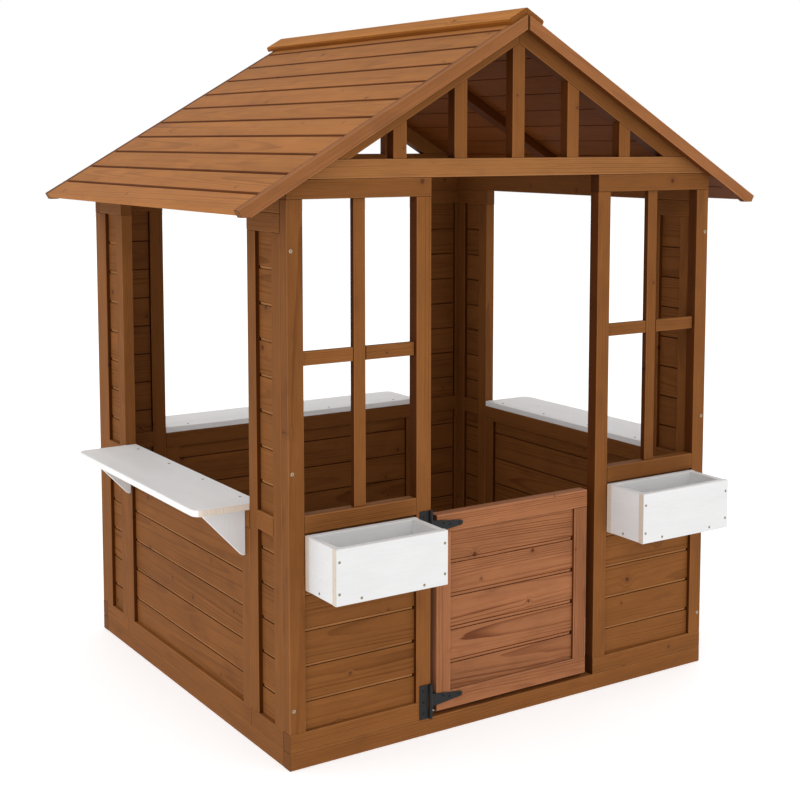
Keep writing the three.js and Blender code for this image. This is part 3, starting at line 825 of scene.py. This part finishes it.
def make_shelf(wall):
    node = f"{wall}_shelf"
    joinery = Joinery(PLACES[wall])
    low, high = local_box(node, PLACES[wall])
    outline = [(high.x, high.y), (low.x, high.y)]
    for corner_x, first_angle in ((low.x + SHELF_CORNER, math.pi), (high.x - SHELF_CORNER, 1.5 * math.pi)):
        for step in range(CORNER_STEPS + 1):
            angle = first_angle + step / CORNER_STEPS * math.pi / 2
            x = corner_x + SHELF_CORNER * math.cos(angle)
            outline.append((x, low.y + SHELF_CORNER + SHELF_CORNER * math.sin(angle)))
    solid = prism(outline, 2, low.z, high.z)
    rims = [edge for edge in solid.edges if edge.calc_face_angle(0) > SQUARE_EDGE]
    round_edges(solid, rims, EASE, 2)
    joinery.timber(solid, ALONG_X, ease=0, tone=0.5, shade=plain_shade)
    show(joinery, node, SHELF_PAINTED_LIGHT_WHITE)


def make_bracket(wall, end):
    node = f"{wall}_bracket_{end}"
    joinery = Joinery(PLACES[wall])
    low, high = local_box(node, PLACES[wall])
    outline = [
        (high.y, high.z),
        (low.y, high.z),
        (low.y, high.z - BRACKET_TIP),
        (high.y - BRACKET_TIP, low.z),
        (high.y, low.z),
    ]
    joinery.timber(prism(outline, 0, low.x, high.x), ALONG_Z, shade=plain_shade)
    show(joinery, node, PAINT)


def make_side_header(wall):
    node = f"{wall}_header"
    joinery = Joinery(PLACES[wall])
    low, high = local_box(node, PLACES[wall])
    outer_top = high.z - (high.y - low.y) * SLOPE
    outline = [(low.y, low.z), (high.y, low.z), (high.y, high.z), (low.y, outer_top)]
    joinery.timber(prism(outline, 0, low.x, high.x), ALONG_X, shade=reveal_shade(-ALONG_Z))
    show(joinery, node, STAINED)


def make_back_header():
    joinery = Joinery(PLACES["back"])
    low, high = local_box("back_header", PLACES["back"])
    joinery.block(low, high, ALONG_X, shade=reveal_shade(-ALONG_Z))
    show(joinery, "back_header", STAINED)


CORNERS = {"left": ("rear", "front"), "right": ("front", "rear"), "back": ("right", "left")}


def make_walls():
    for side, to_doorway in (("left", ALONG_X), ("right", -ALONG_X)):
        make_frame(f"front_{side}_frame", "front", rails=[SILL], shaded_ends=[to_doorway])
        make_boards(f"front_{side}_boards", "front")
        make_window_bars(side)
        make_planter(side)
        make_side_header(side)
    make_back_header()
    for wall, corners in CORNERS.items():
        for corner in corners:
            make_frame(f"{wall}_{corner}_corner_frame", wall, rails=[MID_RAIL])
            make_boards(f"{wall}_{corner}_corner_boards", wall, gap=MID_RAIL)
        make_frame(f"{wall}_low_frame", wall)
        make_boards(f"{wall}_low_boards", wall)
        make_shelf(wall)
        for end in ("a", "b"):
            make_bracket(wall, end)


# ------------------------------------------------------------------ gables and roof
def make_gable(wall):
    node = f"{wall}_gable"
    joinery = Joinery(PLACES["house"])
    low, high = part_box(node)
    chord_top = low.z + RAIL
    shoulder = high.x - RAIL / SLOPE
    rafter_low = high.z - RAIL / math.cos(PITCH)
    heel = (rafter_low - chord_top) / SLOPE
    chord = [(low.x, low.z), (high.x, low.z), (shoulder, chord_top), (-shoulder, chord_top)]
    outwards = -1 if wall == "front" else 1

    # painted shade: inner faces are darker, and the undersides and the sides of the posts darker still
    def shade(normal, centre):
        if normal.y * outwards > FACING:
            return 1.0
        return INSIDE if abs(normal.y) > FACING else REVEAL

    # painted light: the chord's top and outer faces are lightened
    def chord_shade(normal, centre):
        if normal.z > FACING or normal.y * outwards > FACING:
            return CHORD_SHADE
        return shade(normal, centre)

    joinery.timber(prism(chord, 1, low.y, high.y), ALONG_X, shade=chord_shade)
    for side in (-1, 1):
        rafter = [(side * shoulder, chord_top), (0, high.z), (0, rafter_low), (side * heel, chord_top)]
        grain = Vector((side * math.cos(PITCH), 0, -math.sin(PITCH)))
        joinery.timber(prism(rafter, 1, low.y, high.y), grain, shade=shade)
    for step in (-2, -1, 0, 1, 2):
        x0 = step * POST_PITCH - POST / 2
        x1 = x0 + POST
        tops = [(x, rafter_low - abs(x) * SLOPE) for x in (x1, x0)]
        if step == 0:
            tops.insert(1, (0, rafter_low))
        post = [(x0, chord_top), (x1, chord_top), *tops]
        joinery.timber(prism(post, 1, low.y + POST_SETBACK, high.y - POST_SETBACK), ALONG_Z, shade=shade)
    show(joinery, node, STAINED)


def make_roof_slope(side):
    node = f"roof_{side}"
    place = PLACES[node]
    joinery = Joinery(place)
    low, high = local_box(node, place)
    top = PLANK_RUN - TOP_GAP
    lay_boards(
        joinery, low.x, high.x, 0, top, 0,
        first=FIRST_PLANK, thick=PLANK_THICK, joint=ROOF_JOINT, spare=BOARD_PITCH / 2,
        inside=UNDER_ROOF, framed=False, fade=ROOF_PAINTED_SHADE,
    )
    width, depth, length = BATTEN
    foot = PLANK_THICK + depth
    batten_top = PLANK_RUN - foot * SLOPE - TOP_GAP
    # painted shade: the batten is darkened almost to black
    joinery.block(
        (-width / 2, PLANK_THICK, PLANK_RUN - length), (width / 2, foot, batten_top), ALONG_Z,
        shade=lambda normal, centre: BATTEN_SHADE,
    )
    show(joinery, node, ROOFING)


def make_barge(end, side):
    node = f"barge_{end}_{side}"
    place = PLACES[f"roof_{side}"]
    joinery = Joinery(place)
    low, high = local_box(node, place)
    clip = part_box(node)[0].z
    eave = place.translation.z
    top = PLANK_RUN - BARGE_GAP / 2 / math.cos(PITCH)
    end_depth = (eave - clip) / math.cos(PITCH)
    clip_run = (clip - eave + BARGE_FACE * math.cos(PITCH)) / math.sin(PITCH)
    outline = [
        (0, top),
        (0, 0),
        (end_depth, 0),
        (BARGE_FACE, clip_run),
        (BARGE_FACE, top - BARGE_FACE * SLOPE),
    ]

    # painted shade: the barges' undersides are darkened, and the rear barges' upper faces too
    def shade(normal, centre):
        if normal.y > FACING:
            return REVEAL
        return REAR_BARGE_EDGE if end == "back" and normal.y < -FACING else 1.0

    joinery.timber(prism(outline, 0, low.x, high.x), ALONG_Z, shade=shade)
    show(joinery, node, BARGE)


def make_ridge_board(side):
    node = f"ridge_board_{side}"
    place = PLACES[f"roof_{side}"]
    joinery = Joinery(place)
    low, high = local_box(node, place)
    edge = PLANK_RUN - CAP_RUN
    upper = PLANK_RUN + CAP_THICK * SLOPE
    outline = [
        (0, PLANK_RUN),
        (0, edge),
        (-CAP_THICK + CAP_BEVEL, edge),
        (-CAP_THICK, edge + CAP_BEVEL),
        (-CAP_THICK, upper),
    ]

    # painted shade: the cap's lower edge face is darkened
    def shade(normal, centre):
        return CAP_EDGE if normal.z < -ASLANT else 1.0

    joinery.timber(prism(outline, 0, low.x, high.x), ALONG_X, shade=shade, flat_sawn=1.0)
    show(joinery, node, RIDGE)


def make_roof():
    for wall in ("front", "back"):
        make_gable(wall)
    for side in ("left", "right"):
        make_roof_slope(side)
        make_ridge_board(side)
        for end in ("front", "back"):
            make_barge(end, side)


def make_door():
    make_frame("door_frame", "front", material=DOOR, body="door")
    make_boards("door_boards", "front", joint=DOOR_JOINT, material=DOOR, body="door")


# ------------------------------------------------------------------ metalwork
def dress_hinges():
    """The hinge pieces keep their CAD shape, with softened edges and a powder coat."""
    for name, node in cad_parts.items():
        if "hinge" not in name:
            continue
        node.data.materials.clear()
        node.data.materials.append(STEEL)
        bevel = node.modifiers.new("edges", "BEVEL")
        bevel.width = HINGE_EASE
        bevel.segments = 2
        bevel.limit_method = "ANGLE"
        bevel.angle_limit = HINGE_EASE_ANGLE


def add_screw(mesh, place, radius, height):
    """A screw head with a cross recess, facing Z of its place. Its foot is in the wood."""
    def ring(size, level, cross=False):
        corners = []
        for index in range(SCREW_SIDES):
            angle = 2 * math.pi * index / SCREW_SIDES
            on_arm = index % (SCREW_SIDES // 4) in (0, 1, SCREW_SIDES // 4 - 1)
            reach = size * (1.0 if not cross or on_arm else RECESS_WAIST)
            corner = Vector((reach * math.cos(angle), reach * math.sin(angle), level))
            corners.append(mesh.verts.new(place @ corner))
        return corners

    foot = mesh.verts.new(place @ Vector((0, 0, -height)))
    pit = mesh.verts.new(place @ Vector((0, 0, -height * 0.6)))
    rings = [
        ring(radius, -height / 2),
        ring(radius, height * 0.45),
        ring(radius * 0.86, height * 0.9),
        ring(radius * 0.62, height, cross=True),
        ring(radius * 0.5, -height * 0.3, cross=True),
    ]
    for index in range(SCREW_SIDES):
        nxt = (index + 1) % SCREW_SIDES
        mesh.faces.new((foot, rings[0][nxt], rings[0][index]))
        for lower, upper in zip(rings, rings[1:]):
            mesh.faces.new((lower[index], lower[nxt], upper[nxt], upper[index]))
        mesh.faces.new((rings[-1][index], rings[-1][nxt], pit))


def make_screws(name, heads, head_size, material, body="house"):
    """heads are (point, direction) pairs in the house's coordinates."""
    mesh = bmesh.new()
    for point, direction in heads:
        turn = direction.to_track_quat("Z", "Y").to_matrix().to_4x4()
        spin = Matrix.Rotation(draw.uniform(0, math.pi), 4, "Z")
        add_screw(mesh, Matrix.Translation(point) @ turn @ spin, *head_size)
    bmesh.ops.recalc_face_normals(mesh, faces=mesh.faces)
    data = bpy.data.meshes.new(name)
    mesh.to_mesh(data)
    mesh.free()
    data.materials.append(material)
    shown = bpy.data.objects.new(name, data)
    bpy.context.scene.collection.objects.link(shown)
    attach(shown, body)
    return shown


def planter_screws():
    heads = []
    inset = PLANTER_WALL / 2
    for side in ("left", "right"):
        low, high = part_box(f"{side}_planter")
        front = low.y + HEAD_ROOM
        levels = (low.z + PLANTER_END_SCREWS[0], high.z - PLANTER_END_SCREWS[1])
        floor_z = low.z + PLANTER_FLOOR_SCREW_UP
        spots = [(x, z) for x in (low.x + inset, high.x - inset) for z in levels]
        spots += [(low.x + PLANTER_FLOOR_SCREW_INSET, floor_z), (high.x - PLANTER_FLOOR_SCREW_INSET, floor_z)]
        heads += [(Vector((x, front, z)), -ALONG_Y) for x, z in spots]
        for x, outwards in ((low.x + HEAD_ROOM, -1), (high.x - HEAD_ROOM, 1)):
            heads.append((Vector((x, low.y + PLANTER_SIDE_SCREW_BACK, floor_z)), outwards * ALONG_X))
    make_screws("planter_screws", heads, PLANTER_SCREW, BRASS)


def shelf_screws():
    heads = []
    for wall in CORNERS:
        place = PLACES[wall]
        low, high = local_box(f"{wall}_shelf", place)
        pitch = SHELF_SCREW_PITCH * (high.x - low.x)
        for step in SHELF_SCREW_STEPS:
            heads.append((place @ Vector((step * pitch, SHELF_SCREW_BACK, high.z)), ALONG_Z))
    make_screws("shelf_screws", heads, SHELF_SCREW, BRASS)


def stile_screws():
    heads = []
    for side in (-1, 1):
        for z in STILE_SCREW_HEIGHTS:
            heads.append((Vector((side * (half_width - STILE_SCREW_INSET), -half_depth, z)), -ALONG_Y))
    make_screws("stile_screws", heads, STILE_SCREW, ZINC)


def hinge_screws():
    """Heads in the three holes of each leaf and of each strap."""
    for level in ("lower", "upper"):
        leaf_low, leaf_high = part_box(f"{level}_hinge_leaf")
        pin_low, pin_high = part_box(f"{level}_hinge_pin")
        axis_x = (pin_low.x + pin_high.x) / 2
        centre = (leaf_low.z + leaf_high.z) / 2
        face = -half_depth - HINGE_FACE
        leaf_x = leaf_low.x + LEAF_SCREW_INSET
        leaf = [(Vector((leaf_x, face, centre + step * LEAF_SCREW_PITCH)), -ALONG_Y) for step in (-1, 0, 1)]
        make_screws(f"{level}_leaf_screws", leaf, HINGE_SCREW, BLACK_SCREW)
        strap = [(Vector((axis_x + along, face, centre + up)), -ALONG_Y) for along, up in STRAP_SCREWS]
        make_screws(f"{level}_strap_screws", strap, HINGE_SCREW, BLACK_SCREW, body="door")


# ------------------------------------------------------------------ studio
SENSOR = 36
LENS = 63.74
CAMERA_SHIFT = -0.15
CAMERA_PLACE = (-1.8812, -2.9500, 1.2719)
CAMERA_TILT = math.radians(5.583)  # down
CAMERA_TURN = math.radians(32.876)  # to the right of the front wall's normal

FLOOR_GREY = 0.68
FLOOR_ROUGHNESS = 0.9
FLOOR_GLOW = 0.52
FLOOR_REACH = (20, 20)
# painted shade: the floor under the house glows less than the floor outside, so it is darker
INSIDE_GLOW = 0.2
INSIDE_MARGIN = 0.012  # from the outer faces of the base to the edge of the floor inside
FLOOR_DROP = 0.0005
INSIDE_DROP = 0.0003

KEY_PLACE = (-3.9, -3.2, 3.8)
KEY_TARGET = (0, 0, 0.7)
KEY_SIZE = 2.5
KEY_POWER = 26


def make_camera():
    data = bpy.data.cameras.new("camera")
    data.sensor_width = SENSOR
    data.lens = LENS
    data.shift_y = CAMERA_SHIFT
    camera = bpy.data.objects.new("camera", data)
    camera.location = CAMERA_PLACE
    camera.rotation_euler = Euler((math.pi / 2 - CAMERA_TILT, 0, -CAMERA_TURN))
    bpy.context.scene.collection.objects.link(camera)
    bpy.context.scene.camera = camera


def make_floor(name, reach, height, glow):
    """A pale plane out to reach in X and Y. Its glow keeps it as white as a studio sweep."""
    mesh = bmesh.new()
    corners = [(x * reach[0], y * reach[1], height) for x, y in ((-1, -1), (1, -1), (1, 1), (-1, 1))]
    mesh.faces.new([mesh.verts.new(corner) for corner in corners])
    data = bpy.data.meshes.new(name)
    mesh.to_mesh(data)
    mesh.free()
    g = Graph(name)
    g.put(g.shader.inputs["Base Color"], rgba(FLOOR_GREY, FLOOR_GREY, FLOOR_GREY))
    g.put(g.shader.inputs["Emission Color"], rgba(1.0, 1.0, 1.0))
    g.put(g.shader.inputs["Emission Strength"], glow)
    g.put(g.shader.inputs["Roughness"], FLOOR_ROUGHNESS)
    g.put(g.shader.inputs["Specular IOR Level"], 0.0)
    data.materials.append(g.material)
    floor = bpy.data.objects.new(name, data)
    bpy.context.scene.collection.objects.link(floor)


def area_light(name, place, target, size, power):
    data = bpy.data.lights.new(name, "AREA")
    data.shape = "DISK"
    data.size = size
    data.energy = power
    light = bpy.data.objects.new(name, data)
    light.location = place
    light.rotation_euler = (Vector(target) - Vector(place)).to_track_quat("-Z", "Y").to_euler()
    bpy.context.scene.collection.objects.link(light)


def make_studio():
    scene = bpy.context.scene
    scene.view_settings.view_transform = "Standard"
    world = bpy.data.worlds.new("studio")
    world.use_nodes = True
    world.node_tree.nodes["Background"].inputs["Color"].default_value = rgba(1.0, 1.0, 1.0)
    world.node_tree.nodes["Background"].inputs["Strength"].default_value = 1.0
    scene.world = world
    make_floor("studio_floor", FLOOR_REACH, -FLOOR_DROP, FLOOR_GLOW)
    # painted shade: a darker, less glowing floor inside the house
    reach = (half_width - INSIDE_MARGIN, half_depth - INSIDE_MARGIN)
    make_floor("studio_floor_inside", reach, -INSIDE_DROP, INSIDE_GLOW)
    area_light("key", KEY_PLACE, KEY_TARGET, KEY_SIZE, KEY_POWER)


make_camera()
make_base()
make_walls()
make_roof()
make_door()
dress_hinges()
planter_screws()
shelf_screws()
stile_screws()
hinge_screws()
make_studio()
